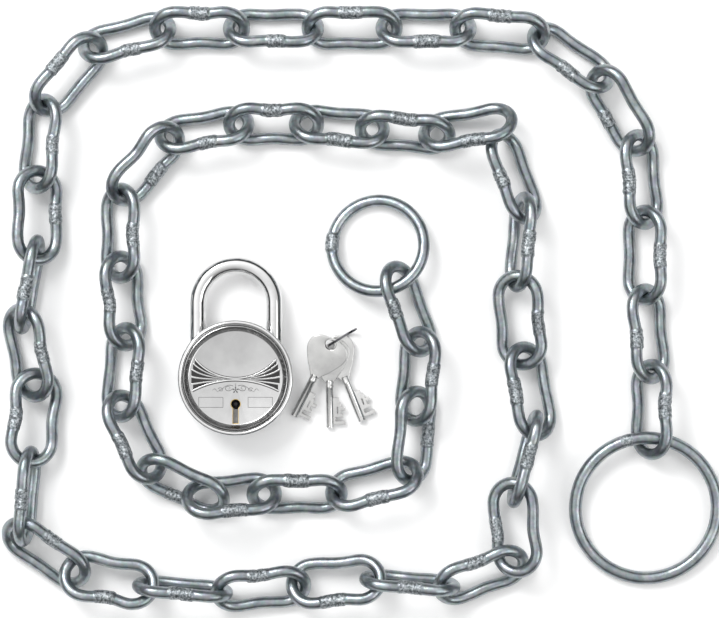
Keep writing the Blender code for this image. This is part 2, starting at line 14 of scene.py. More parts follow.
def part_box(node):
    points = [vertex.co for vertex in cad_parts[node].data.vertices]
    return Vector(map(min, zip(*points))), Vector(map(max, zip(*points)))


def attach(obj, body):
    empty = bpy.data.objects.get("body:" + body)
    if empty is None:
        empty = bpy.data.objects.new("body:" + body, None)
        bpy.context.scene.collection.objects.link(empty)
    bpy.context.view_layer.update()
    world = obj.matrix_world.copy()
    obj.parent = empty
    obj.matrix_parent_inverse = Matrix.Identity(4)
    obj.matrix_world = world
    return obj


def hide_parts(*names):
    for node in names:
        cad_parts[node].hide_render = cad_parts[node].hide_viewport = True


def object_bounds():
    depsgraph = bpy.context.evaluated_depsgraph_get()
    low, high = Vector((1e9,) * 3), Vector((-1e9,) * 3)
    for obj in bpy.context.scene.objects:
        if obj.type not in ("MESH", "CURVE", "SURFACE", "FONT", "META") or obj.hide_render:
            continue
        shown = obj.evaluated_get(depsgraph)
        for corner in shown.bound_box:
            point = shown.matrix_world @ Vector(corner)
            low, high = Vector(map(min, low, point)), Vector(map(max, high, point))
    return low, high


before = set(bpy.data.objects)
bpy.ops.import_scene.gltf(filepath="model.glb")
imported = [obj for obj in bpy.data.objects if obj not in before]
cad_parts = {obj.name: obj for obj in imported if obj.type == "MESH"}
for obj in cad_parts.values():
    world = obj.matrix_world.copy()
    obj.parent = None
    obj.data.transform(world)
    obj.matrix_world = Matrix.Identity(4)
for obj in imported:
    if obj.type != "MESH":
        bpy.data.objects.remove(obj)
CAD_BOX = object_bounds()

MM = 0.001

# Chain layout: heading, lean and slack in millimetres of each link, outer end first
WIRE = 6.0 * MM
LINK_LENGTH = 50.5 * MM
LINK_WIDTH = 27.0 * MM
HOOK_GAP = 0.8 * MM
FUSE_DEPTH = 0.6 * MM
TIP_SPAN = LINK_LENGTH - WIRE
CROWN_RADIUS = (LINK_WIDTH - WIRE) / 2
STRAIGHT = TIP_SPAN - 2 * CROWN_RADIUS
LARGE_RING_OD = 77.0 * MM
LARGE_RING_WIRE = 6.5 * MM
SMALL_RING_OD = 52.0 * MM
SMALL_RING_WIRE = 6.0 * MM
RIGHT_SIDE_UP = [(90, 130, 0), (95, 45, 0), (90, 135, 0), (95, 45, 1)]
TOP_RIGHT_BEND = [(120, 135, 1), (145, 45, 0)]
TOP_RUN = [(175, 135, 1), (180, 45, 1), (180, 135, 1), (180, 45, 1), (180, 135, 1)]
TOP_LEFT_BEND = [(195, 45, 2), (230, 135, 1), (265, 45, 2)]
LEFT_SIDE_DOWN = [(270, 150, 3), (260, 95, 3), (280, 40, 5), (265, 160, 0), (265, 100, 3)]
BOTTOM_RUN = [(325, 40, 3), (350, 155, 1), (355, 100, 0), (5, 40, 0), (5, 155, 1), (355, 100, 1),
              (20, 40, 2)]
INNER_RIGHT_UP = [(95, 155, 3), (75, 95, 3), (100, 40, 2), (95, 155, 0), (85, 110, 4)]
INNER_TOP_BEND = [(110, 50, 5), (190, 45, 6), (175, 130, 5)]
INNER_TOP_RUN = [(175, 45, 5), (180, 135, 3), (190, 45, 2), (230, 135, 0)]
INNER_LEFT_DOWN = [(270, 45, 4), (275, 135, 2), (265, 45, 4), (295, 135, 2)]
INNER_BOTTOM_RUN = [(335, 45, 12), (5, 135, 5), (0, 45, 0), (15, 135, 0)]
INNER_END = [(85, 45, 8), (85, 135, 3), (110, 50, 3)]
LINKS = (RIGHT_SIDE_UP + TOP_RIGHT_BEND + TOP_RUN + TOP_LEFT_BEND + LEFT_SIDE_DOWN + BOTTOM_RUN
         + INNER_RIGHT_UP + INNER_TOP_BEND + INNER_TOP_RUN + INNER_LEFT_DOWN + INNER_BOTTOM_RUN
         + INNER_END)
LARGE_RING_ROW = (85, 0, 1.0)
SMALL_RING_ROW = (125, 0, 0.0)
FUSED_PAIRS = (2, 6, 9, 13, 18, 22, 30, 38, 45)

# Link detail
LINK_SIDES = 24
ARC_STEPS = 22
RAIL_STEPS = 16
WELD_STEPS = 30
WAIST = (0.5 * MM, 1.5 * MM)
WELD_HALF = (4.2 * MM, 6.4 * MM)
WELD_LUMP = (0.15 * MM, 0.55 * MM)
WELD_ROUGH = 0.42 * MM
WELD_BLEND = 1.6 * MM
LOW_RAIL_WELDS = (5, 15, 27, 38, 43, 47)
FIRST_LINK_SEED = 700

# Ring welds: heading from the ring's middle, half length, lump height, and a seed for the surface
LARGE_RING_WELD = (106, 3.0 * MM, 0.0, 1.3)
SMALL_RING_WELD = (176, 4.2 * MM, 0.5 * MM, 4.9)
RING_STEPS = 200
RING_SIDES = 28

# Padlock, about its own centre on the ground
PADLOCK_FROM_RING = Vector((-70.5 * MM, -65.5 * MM, 0.0))
CASE_RADIUS = 28.25 * MM
CASE_WALL = 1.5 * MM
CASE_HEIGHT = 18.0 * MM
CASE_CORNER = 5.0 * MM
PADLOCK_HEIGHT = 21.5 * MM
BEZEL_INNER = 26.0 * MM
BEZEL_OUTER = 28.5 * MM
FACE_RADIUS = 23.4 * MM
FACE_HEIGHT = 18.5 * MM
COVER_RADIUS = 25.7 * MM
SHACKLE_WIRE = 8.0 * MM
SHACKLE_HALF = 19.0 * MM
SHACKLE_PLANE = 10.75 * MM
SHACKLE_TOP = 60.0 * MM
HEEL_END = -3.0 * MM
TOE_END = 6.5 * MM
LEG_CLEARANCE = 0.3 * MM
NOTCH_MM = (8.6, 13.0, 3.5)
KEYHOLE_MM = (-13.0, 2.6, 3.1, -22.8)

# Face ornament in millimetres: the two arcs that cross the face, and the striped wings between them
UPPER_ARC_MM = (25.9, 26.0)
LOWER_ARC_MM = (-46.2, 45.0)
ARC_LIMIT_MM = 22.9
WING_STRIPES = 5
WING_INNER_MM = 6.0
WING_OUTER_MM = 22.3
LABEL_MM = ((6.2, -14.6), (18.2, -9.6))

# Keys
KEYS_FROM_RING = Vector((-24.5 * MM, -49.5 * MM, 0.0))
KEY_FANS = (22, 1, -27)
KEY_STACK = 4.3 * MM
KEY_LOWEST = 4.0 * MM
KEY_RING_RADIUS = 7.9 * MM
KEY_RING_WIRE = 1.1 * MM
KEY_RING_HEADING = 31
BOW_SHEET = 1.7 * MM
STEM_RADIUS = 2.0 * MM
STEM_COLLAR = 1.9 * MM
STEM_START = 17.6 * MM
STEM_END = -41.5 * MM
STEM_BORE = 1.2 * MM
KEY_HOLE = 2.8 * MM
BIT_SHEET = 1.9 * MM
BIT_REACH_MM = 7.7
BIT_STEPS_MM = [(-26.6, 0.6), (-29.0, 0.72), (-31.4, 1.0), (-33.0, 0.7), (-34.8, 0.85), (-36.4, 0.35),
                (-38.4, 1.0), (-40.1, 0.8)]
SPLIT_RING_STRIP = (0.62 * MM, 0.30 * MM)
SPLIT_RING_TURNS = 2.0

# Scale of the finer scratches, and the light's two lamps: place, size, power
FINE_MARKS = 1600.0
KEY_LIGHT = ((-0.9, 1.1, 1.6), 0.9, 26.0)
FILL_LIGHT = ((1.3, -0.6, 1.4), 1.2, 10.0)

# View: straight down, the width seen at the ground, and the middle of the view
VIEW_WIDTH = 0.3595
VIEW_CENTRE = (-0.0017, 0.0005)
VIEW_HEIGHT = 1.7
SENSOR_MM = 36.0


# ---------------- layout

def flat_direction(heading):
    angle = math.radians(heading)
    return Vector((math.cos(angle), math.sin(angle), 0.0))


class Hoop:
    """A link or ring on the ground: where its tips are, and its directions along and across."""

    def __init__(self, name, span, half_width, wire, row):
        self.name = name
        self.span = span
        self.half_width = half_width
        self.wire = wire
        self.heading, lean, self.slack = row
        self.lean = math.radians(lean)
        self.rise = 0.0
        self.back = Vector()
        self.front = Vector()
        self.aim()

    def aim(self):
        level = flat_direction(self.heading)
        left = flat_direction(self.heading + 90)
        slope = math.asin(self.rise / self.span)
        self.along = level * math.cos(slope) + Vector((0, 0, math.sin(slope)))
        up = self.along.cross(left)
        self.across = left * math.cos(self.lean) + up * math.sin(self.lean)

    def tip_height(self):
        return self.half_width * abs(math.sin(self.lean)) + self.wire / 2

    def placement(self):
        """Its middle, with X along and Y across to its high side."""
        normal = self.along.cross(self.across)
        turn = Matrix((self.along, self.across, normal)).transposed().to_4x4()
        return Matrix.Translation((self.back + self.front) / 2) @ turn


def is_fused(hoop):
    return hoop.name in {f"link_{number:02d}" for number in FUSED_PAIRS}


def hook_step(first, second):
    """From the second hoop's crown to the first's."""
    normal = first.across.cross(second.across).normalized()
    if normal.dot(first.along + second.along) < 0:
        normal = -normal
    touching = (first.wire + second.wire) / 2
    gap = touching - FUSE_DEPTH if is_fused(first) else touching + HOOK_GAP + first.slack * MM
    return normal * gap


def level_tips(hoops):
    """Tilts each hoop so that at every hook both neighbours are just clear of the ground."""
    back_heights = [hoops[0].tip_height()]
    front_heights = []
    for first, second in zip(hoops, hoops[1:]):
        drop = hook_step(first, second).z
        middle = max(first.tip_height() - drop / 2, second.tip_height() + drop / 2)
        front_heights.append(middle + drop / 2)
        back_heights.append(middle - drop / 2)
    front_heights.append(hoops[-1].tip_height())
    for hoop, back, front in zip(hoops, back_heights, front_heights):
        hoop.rise = front - back
        hoop.aim()


def lay_chain():
    """Every hoop, moved so that the large ring is where its CAD node is."""
    hoops = [Hoop("large_ring", LARGE_RING_OD - LARGE_RING_WIRE, 0.0, LARGE_RING_WIRE,
                  LARGE_RING_ROW)]
    for number, row in enumerate(LINKS, start=1):
        hoops.append(Hoop(f"link_{number:02d}", TIP_SPAN, CROWN_RADIUS, WIRE, row))
    hoops.append(Hoop("small_ring", SMALL_RING_OD - SMALL_RING_WIRE, 0.0, SMALL_RING_WIRE,
                      SMALL_RING_ROW))
    for _ in range(6):
        level_tips(hoops)
    hoops[0].front = hoops[0].along * hoops[0].span
    for first, second in zip(hoops, hoops[1:]):
        second.back = first.front - hook_step(first, second)
        second.front = second.back + second.along * second.span
    low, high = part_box("large_ring")
    shift = (low + high) / 2 - (hoops[0].back + hoops[0].front) / 2
    for hoop in hoops:
        hoop.back += shift
        hoop.front += shift
    return hoops


# ---------------- mesh helpers

def add_to_scene(item):
    bpy.context.scene.collection.objects.link(item)


def place(name, mesh, matrix, material, body, nodes=()):
    """Adds a piece within the CAD box, lets it ride its body, and has it stand for its CAD nodes."""
    mesh.transform(matrix)
    spots = np.empty(3 * len(mesh.vertices), dtype=np.float32)
    mesh.vertices.foreach_get("co", spots)
    low, high = (np.array(corner, dtype=np.float32) for corner in CAD_BOX)
    spots = np.clip(spots.reshape(-1, 3), low, high)
    mesh.vertices.foreach_set("co", spots.ravel())
    mesh.update()
    mesh.materials.clear()
    mesh.materials.append(material)
    piece = bpy.data.objects.new(name, mesh)
    add_to_scene(piece)
    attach(piece, body)
    if nodes:
        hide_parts(*nodes)


def place_on_lock(name, mesh, lock, material, *nodes):
    place(name, mesh, lock, material, "padlock", nodes)


def smooth_mesh(mesh, angle=35):
    mesh.shade_smooth()
    mesh.set_sharp_from_angle(angle=math.radians(angle))
    return mesh


def face_outwards(mesh, merge=0.0):
    """Turns all faces outwards, once corners closer than the given distance are merged."""
    bm = bmesh.new()
    bm.from_mesh(mesh)
    if merge:
        bmesh.ops.remove_doubles(bm, verts=bm.verts, dist=merge)
    bmesh.ops.recalc_face_normals(bm, faces=bm.faces)
    bm.to_mesh(mesh)
    bm.free()
    return mesh


def grid_faces(rows, columns, closed):
    """Quads of a grid that wraps round in columns and, if closed, in rows."""
    faces = []
    for row in range(rows if closed else rows - 1):
        after = (row + 1) % rows
        for column in range(columns):
            beside = (column + 1) % columns
            faces.append((row * columns + column, row * columns + beside,
                          after * columns + beside, after * columns + column))
    return faces


def wire_mesh(name, centres, sideways, upward, radii, closed, seed=0.0, weld=None):
    """A wire swept along its centres, with the attributes that the wire materials use."""
    rows, sides = radii.shape
    angles = np.linspace(0, 2 * np.pi, sides, endpoint=False)
    cosines = np.cos(angles)[None, :, None]
    sines = np.sin(angles)[None, :, None]
    spots = centres[:, None, :] + radii[:, :, None] * (cosines * sideways[:, None, :]
                                                       + sines * upward[:, None, :])
    faces = grid_faces(rows, sides, closed)
    if not closed:
        faces.append(tuple(reversed(range(sides))))
        faces.append(tuple(range((rows - 1) * sides, rows * sides)))
    mesh = bpy.data.meshes.new(name)
    mesh.from_pydata(spots.reshape(-1, 3).tolist(), [], faces)
    steps = np.linalg.norm(np.diff(centres, axis=0), axis=1)
    run = np.concatenate([[0.0], np.cumsum(steps)])
    if closed:
        # the run's end meets its start, so it is wound on a circle of its own length
        total = run[-1] + np.linalg.norm(centres[0] - centres[-1])
        turn = run / total * 2 * np.pi
        big = total / (2 * np.pi)
        outward = big + radii * np.cos(angles)[None, :]
        along = np.stack([np.cos(turn)[:, None] * outward, np.sin(turn)[:, None] * outward,
                          radii * np.sin(angles)[None, :] + seed], 2)
    else:
        along = np.stack([radii * np.cos(angles)[None, :], radii * np.sin(angles)[None, :],
                          np.broadcast_to(run[:, None] + seed, radii.shape)], 2)
    stored = mesh.attributes.new("wire", "FLOAT_VECTOR", "POINT")
    stored.data.foreach_set("vector", along.reshape(-1).astype(np.float32))
    amount = np.zeros((rows, sides)) if weld is None else weld
    stored = mesh.attributes.new("weld", "FLOAT", "POINT")
    stored.data.foreach_set("value", amount.reshape(-1).astype(np.float32))
    return face_outwards(mesh)


def lathe_mesh(name, profile, segments, closed=False):
    """A turned solid: (radius, height) points down its outside; ends on the axis unless it is closed."""
    mesh = bpy.data.meshes.new(name)
    verts = []
    rows = []
    for radius, height in profile:
        if radius < 1e-9:
            rows.append([len(verts)] * segments)
            verts.append((0.0, 0.0, height))
            continue
        rows.append(list(range(len(verts), len(verts) + segments)))
        for step in range(segments):
            angle = 2 * math.pi * step / segments
            verts.append((radius * math.cos(angle), radius * math.sin(angle), height))
    faces = []
    pairs = list(zip(rows, rows[1:]))
    if closed:
        pairs.append((rows[-1], rows[0]))
    for upper, lower in pairs:
        for step in range(segments):
            after = (step + 1) % segments
            corners = (upper[step], upper[after], lower[after], lower[step])
            faces.append(list(dict.fromkeys(corners)))
    mesh.from_pydata(verts, [], faces)
    return face_outwards(mesh)


def arc(centre, radius, start, end, steps):
    """Points of an arc; angles in degrees."""
    return [(centre[0] + radius * math.cos(math.radians(start + (end - start) * i / steps)),
             centre[1] + radius * math.sin(math.radians(start + (end - start) * i / steps)))
            for i in range(steps + 1)]


def prism_mesh(name, outlines, low, high, bevel=0.0):
    """Closed flat outlines, in metres, raised into plates with softened top edges."""
    bm = bmesh.new()
    for outline in outlines:
        base = [bm.verts.new((x, y, low)) for x, y in outline]
        floor = bm.faces.new(base)
        made = bmesh.ops.extrude_face_region(bm, geom=[floor])
        tops = [item for item in made["geom"] if isinstance(item, bmesh.types.BMVert)]
        bmesh.ops.translate(bm, verts=tops, vec=(0, 0, high - low))
        lid = [item for item in made["geom"] if isinstance(item, bmesh.types.BMFace)]
        if bevel:
            edges = list({edge for face in lid for edge in face.edges})
            bmesh.ops.bevel(bm, geom=edges, offset=bevel, segments=2, affect="EDGES", profile=0.5,
                            clamp_overlap=True)
    bmesh.ops.recalc_face_normals(bm, faces=bm.faces)
    mesh = bpy.data.meshes.new(name)
    bm.to_mesh(mesh)
    bm.free()
    return mesh


def strip(points, widths):
    """The outline of a strip of the given widths along a line of points."""
    left = []
    right = []
    for index, (x, y) in enumerate(points):
        before = points[max(index - 1, 0)]
        after = points[min(index + 1, len(points) - 1)]
        length = math.hypot(after[0] - before[0], after[1] - before[1])
        nx = -(after[1] - before[1]) / length
        ny = (after[0] - before[0]) / length
        half = widths[index] / 2
        left.append((x + nx * half, y + ny * half))
        right.append((x - nx * half, y - ny * half))
    return left + right[::-1]


def outline_mesh(name, loops, thickness, edge):
    """A flat plate with holes and rounded edges, about Z = 0."""
    curve = bpy.data.curves.new(name, "CURVE")
    curve.dimensions = "2D"
    curve.fill_mode = "BOTH"
    curve.extrude = thickness / 2 - edge
    curve.bevel_depth = edge
    curve.bevel_resolution = 3
    curve.offset = -edge
    for loop in loops:
        spline = curve.splines.new("POLY")
        spline.points.add(len(loop) - 1)
        for spot, point in zip(spline.points, loop):
            spot.co = (point[0], point[1], 0.0, 1.0)
        spline.use_cyclic_u = True
    holder = bpy.data.objects.new(name, curve)
    return evaluated_mesh(holder)


def evaluated_mesh(holder):
    """The finished mesh of an object that is then removed."""
    add_to_scene(holder)
    bpy.context.view_layer.update()
    graph = bpy.context.evaluated_depsgraph_get()
    mesh = bpy.data.meshes.new_from_object(holder.evaluated_get(graph))
    bpy.data.objects.remove(holder, do_unlink=True)
    return face_outwards(mesh, 1e-6)


def carve(mesh, steps):
    """Cuts or joins other meshes, given as (mesh, operation), in turn."""
    for tool_mesh, operation in steps:
        holder = bpy.data.objects.new("carved", mesh)
        tool = bpy.data.objects.new("tool", tool_mesh)
        add_to_scene(tool)
        modifier = holder.modifiers.new("Shape", "BOOLEAN")
        modifier.operation = operation
        modifier.object = tool
        modifier.solver = "EXACT"
        mesh = evaluated_mesh(holder)
        bpy.data.objects.remove(tool, do_unlink=True)
    return mesh


def cylinder_mesh(radius, depth, matrix, segments=48):
    mesh = lathe_mesh("cylinder", [(0, depth / 2), (radius, depth / 2), (radius, -depth / 2),
                                   (0, -depth / 2)], segments)
    mesh.transform(matrix)
    return mesh


def box_mesh(low, high):
    outline = [(low[0], low[1]), (high[0], low[1]), (high[0], high[1]), (low[0], high[1])]
    return prism_mesh("box", [outline], low[2], high[2])


# ---------------- materials

def add(tree, kind, inputs=None, **settings):
    """Adds a shader node; a value that is another node's output is linked."""
    made = tree.nodes.new(kind)
    for key, value in settings.items():
        setattr(made, key, value)
    for key, value in (inputs or {}).items():
        if isinstance(value, bpy.types.NodeSocket):
            tree.links.new(value, made.inputs[key])
        else:
            made.inputs[key].default_value = value
    return made


def ramp(tree, fac, stops):
    """A colour ramp of (position, grey or colour) stops."""
    made = add(tree, "ShaderNodeValToRGB", {"Fac": fac})
    elements = made.color_ramp.elements
    while len(elements) < len(stops):
        elements.new(0.5)
    for element, (position, colour) in zip(elements, stops):
        element.position = position
        shade = colour if isinstance(colour, tuple) else (colour,) * 3
        element.color = (*shade, 1.0)
    return made.outputs["Color"]


def span_of(tree, value, low, high, source=(0.3, 0.7)):
    """A value stretched from its source range to low..high."""
    made = add(tree, "ShaderNodeMapRange", {"Value": value, "From Min": source[0], "From Max": source[1],
                                            "To Min": low, "To Max": high})
    return made.outputs["Result"]


def plus(tree, first, second, operation="ADD"):
    return add(tree, "ShaderNodeMath", {0: first, 1: second}, operation=operation).outputs[0]


def times(tree, first, second):
    return plus(tree, first, second, "MULTIPLY")


def mixed(tree, fac, first, second, blend="MIX"):
    made = add(tree, "ShaderNodeMix", data_type="RGBA", blend_type=blend)
    for key, value in ((0, fac), (6, first), (7, second)):
        if isinstance(value, bpy.types.NodeSocket):
            tree.links.new(value, made.inputs[key])
        else:
            made.inputs[key].default_value = (*value, 1.0) if isinstance(value, tuple) else value
    return made.outputs[2]


def new_material(name, metallic=1.0):
    material = bpy.data.materials.new(name)
    material.use_nodes = True
    tree = material.node_tree
    shader = tree.nodes["Principled BSDF"]
    shader.inputs["Metallic"].default_value = metallic
    return material, tree, shader


def scaled(tree, vector, scale):
    return add(tree, "ShaderNodeMapping", {"Vector": vector, "Scale": scale}).outputs["Vector"]


def object_spot(tree):
    return add(tree, "ShaderNodeTexCoord").outputs["Object"]


def noisy(tree, vector, scale, detail=2.0, roughness=0.5):
    made = add(tree, "ShaderNodeTexNoise", {"Vector": vector, "Scale": scale, "Detail": detail,
                                            "Roughness": roughness})
    return made.outputs["Fac"]


def finish_material(tree, shader, colour, roughness, height, distance, strength=1.0):
    tree.links.new(colour, shader.inputs["Base Color"])
    tree.links.new(roughness, shader.inputs["Roughness"])
    bump = add(tree, "ShaderNodeBump", {"Height": height, "Distance": distance, "Strength": strength})
    tree.links.new(bump.outputs["Normal"], shader.inputs["Normal"])


def galvanised_material():
    """Zinc-plated wire: cool cloudy sheen, faint drawing marks, crusty welds."""
    material, tree, shader = new_material("galvanised_wire")
    wire = add(tree, "ShaderNodeAttribute", attribute_name="wire").outputs["Vector"]
    weld = add(tree, "ShaderNodeAttribute", attribute_name="weld").outputs["Fac"]
    clouds = noisy(tree, wire, 170.0, 3.0, 0.6)
    grain = noisy(tree, wire, 1500.0, 4.0, 0.65)
    dents = noisy(tree, wire, 420.0, 2.0, 0.5)
    spangle = add(tree, "ShaderNodeTexVoronoi", {"Vector": wire, "Scale": 620.0}).outputs["Color"]
    zinc = ramp(tree, clouds, [(0.30, (0.20, 0.228, 0.245)), (0.55, (0.29, 0.322, 0.34)),
                               (0.75, (0.40, 0.435, 0.452))])
    zinc = mixed(tree, 0.10, zinc, spangle, "SOFT_LIGHT")
    lumps = noisy(tree, wire, 850.0, 4.0, 0.6)
    crust = ramp(tree, lumps, [(0.36, (0.05, 0.056, 0.06)), (0.50, (0.26, 0.285, 0.30)),
                               (0.66, (0.60, 0.63, 0.65))])
    colour = mixed(tree, times(tree, weld, 0.8), zinc, crust)
    rough = span_of(tree, grain, 0.27, 0.40)
    rough = plus(tree, rough, times(tree, weld, 0.12))
    height = plus(tree, times(tree, dents, 0.55), times(tree, grain, 0.10))
    crusty = times(tree, times(tree, lumps, 1.5), weld)
    finish_material(tree, shader, colour, rough, plus(tree, height, crusty), 0.22 * MM)
    return material


def polished_material(name, dark, light, roughness, marks=900.0, depth=0.00002):
    """Plated metal: faint clouding, fine scratches and a soft, uneven polish."""
    material, tree, shader = new_material(name)
    spot = object_spot(tree)
    clouds = noisy(tree, spot, 90.0, 3.0, 0.55)
    scratches = noisy(tree, scaled(tree, spot, (1.0, 0.12, 1.0)), marks, 3.0, 0.7)
    smears = noisy(tree, spot, 260.0, 4.0, 0.6)
    colour = ramp(tree, clouds, [(0.30, dark), (0.70, light)])
    rough = span_of(tree, smears, roughness[0], roughness[1])
    height = plus(tree, scratches, times(tree, clouds, 0.5))
    finish_material(tree, shader, colour, rough, height, depth)
    return material


def brushed_side_material():
    """The case's drawn wall: satin, with fine marks running round it."""
    material, tree, shader = new_material("case_satin")
    spot = object_spot(tree)
    rings = noisy(tree, scaled(tree, spot, (0.05, 0.05, 1.0)), 2600.0, 3.0, 0.7)
    clouds = noisy(tree, spot, 120.0, 3.0, 0.6)
    colour = ramp(tree, clouds, [(0.30, (0.56, 0.56, 0.565)), (0.70, (0.66, 0.665, 0.67))])
    rough = span_of(tree, rings, 0.24, 0.38)
    finish_material(tree, shader, colour, rough, rings, 0.00003)
    return material


def enamel_material():
    """Black paint in the face's stripes and lines, a little worn."""
    material, tree, shader = new_material("black_enamel", 0.0)
    spot = object_spot(tree)
    wear = noisy(tree, spot, 700.0, 4.0, 0.7)
    colour = ramp(tree, wear, [(0.35, 0.006), (0.62, (0.014, 0.013, 0.013)),
                               (0.85, (0.05, 0.047, 0.045))])
    finish_material(tree, shader, colour, span_of(tree, wear, 0.55, 0.75), wear, 0.00003)
    return material


def sheet_material(name, dark, light):
    """Plain pressed sheet: mill marks one way, oily patches."""
    material, tree, shader = new_material(name)
    spot = object_spot(tree)
    mill = noisy(tree, scaled(tree, spot, (1.0, 0.06, 0.06)), 2200.0, 3.0, 0.7)
    oil = noisy(tree, spot, 240.0, 3.0, 0.6)
    colour = ramp(tree, oil, [(0.32, dark), (0.68, light)])
    finish_material(tree, shader, colour, span_of(tree, mill, 0.26, 0.46), mill, 0.00003)
    return material


def floor_material():
    material, tree, shader = new_material("pale_floor", 0.0)
    spot = object_spot(tree)
    grain = noisy(tree, spot, 40.0, 3.0, 0.5)
    colour = ramp(tree, grain, [(0.2, 0.93), (0.8, 0.95)])
    tree.links.new(colour, shader.inputs["Base Color"])
    shader.inputs["Roughness"].default_value = 0.9
    shader.inputs["Specular IOR Level"].default_value = 0.1
    return material


# ---------------- chain

def smoothstep(value):
    value = np.clip(value, 0.0, 1.0)
    return value * value * (3 - 2 * value)


def weld_envelope(weld_half, away):
    """How much of the weld shows at a distance from its middle: 1 on it, 0 off it."""
    return smoothstep((weld_half - away) / WELD_BLEND + 0.5)


def rail_stations(weld_at, weld_half):
    """Places along a straight side, close together over its weld."""
    half = STRAIGHT / 2
    reach = weld_half + 1.2 * MM
    coarse = np.linspace(-half, half, RAIL_STEPS)
    coarse = coarse[np.abs(coarse - weld_at) > reach + 0.6 * MM]
    close = np.linspace(weld_at - reach, weld_at + reach, WELD_STEPS)
    close = close[np.abs(close) < half - 0.2 * MM]
    return np.unique(np.concatenate([coarse, close, [-half, half]]))


def link_route(stations, waist, skew):
    """The wire's middle line round a link, with each point's place on its rail and which rail it is."""
    half = STRAIGHT / 2
    spots = []
    rails = []
    sides = []
    for side in (1, -1):
        pull = waist if side > 0 else waist * 0.7
        for x in (stations[::-1] if side > 0 else stations):
            bow = pull * math.cos(math.pi * x / STRAIGHT) ** 2
            bow += skew * math.sin(2 * math.pi * x / STRAIGHT)
            spots.append((x, side * (CROWN_RADIUS - bow), 0.0))
            rails.append(x)
            sides.append(side)
        for step in range(1, ARC_STEPS):
            angle = math.radians(90 * side + 180 * step / ARC_STEPS)
            spots.append((-side * half + CROWN_RADIUS * math.cos(angle),
                          CROWN_RADIUS * math.sin(angle), 0.0))
            rails.append(math.inf)
            sides.append(0)
    return np.array(spots), np.array(rails), np.array(sides)


def flat_frame(tangent):
    """For the tangents of a flat route: outward directions in its plane, and its normal."""
    tangent = tangent / np.linalg.norm(tangent, axis=1)[:, None]
    normal = np.array([0.0, 0.0, 1.0])
    outward = np.cross(tangent, normal)
    return outward, np.broadcast_to(normal, outward.shape)


def loop_frame(centres):
    return flat_frame(np.roll(centres, -1, 0) - np.roll(centres, 1, 0))


def crust_height(spot, seed):
    """A weld's rough surface, from 0 to about 1."""
    base = spot * 520.0 + Vector((seed * 3.1, seed * 1.7, 0.0))
    lumps = noise.noise(base)
    chips = noise.cell(base * 0.9)
    fine = noise.noise(base * 3.1)
    return 0.5 + 0.42 * lumps + 0.22 * (chips - 0.5) + 0.18 * fine


def link_mesh(number, hoop):
    """One link: waisted sides, wire a little uneven, and a rough weld on one side."""
    rng = np.random.default_rng(FIRST_LINK_SEED + number)
    weld_at = rng.uniform(-2.5, 2.5) * MM
    weld_half = rng.uniform(*WELD_HALF)
    lump = rng.uniform(*WELD_LUMP)
    weld_side = -1 if number in LOW_RAIL_WELDS else 1
    stations = rail_stations(weld_at, weld_half)
    centres, rails, sides = link_route(stations, rng.uniform(*WAIST), rng.uniform(-0.25, 0.25) * MM)
    outward, normal = loop_frame(centres)
    reach = np.where(sides == weld_side, np.abs(rails - weld_at), math.inf)
    envelope = weld_envelope(weld_half, reach)
    angles = np.linspace(0, 2 * np.pi, LINK_SIDES, endpoint=False)
    phase = rng.uniform(0, 2 * math.pi, 4)
    rows = np.arange(len(centres))[:, None]
    uneven = (np.sin(rows * 0.31 + phase[0]) * np.sin(angles + phase[1])
              + np.sin(rows * 0.17 + phase[2]) * np.sin(2 * angles + phase[3]))
    radii = (WIRE / 2) * (0.985 + 0.0075 * uneven)
    step_side = rng.uniform(0, 2 * math.pi)
    world_up = hoop.placement().to_3x3().transposed() @ Vector((0, 0, 1))
    for row in np.nonzero(envelope > 0)[0]:
        for column, angle in enumerate(angles):
            facing = outward[row] * math.cos(angle) + normal[row] * math.sin(angle)
            room = 1.0 if weld_side > 0 else max(0.0, min(1.0, 0.8 + facing @ np.array(world_up)))
            spot = Vector(centres[row] + facing * WIRE / 2)
            swell = lump * (0.75 + 0.25 * math.cos(angle - step_side))
            crust = WELD_ROUGH * crust_height(spot, number)
            radii[row, column] += envelope[row] * room * (swell + crust - 0.25 * WELD_ROUGH)
    halves = np.sign(rails - weld_at)
    offset = np.where(np.isfinite(halves), halves, 0.0) * envelope * 0.18 * MM
    centres = centres + normal * offset[:, None] * math.cos(step_side)
    weld = np.repeat(envelope[:, None], LINK_SIDES, 1)
    mesh = wire_mesh(hoop.name, centres, outward, normal, radii, True, number * 0.37, weld)
    mesh.shade_smooth()
    return mesh


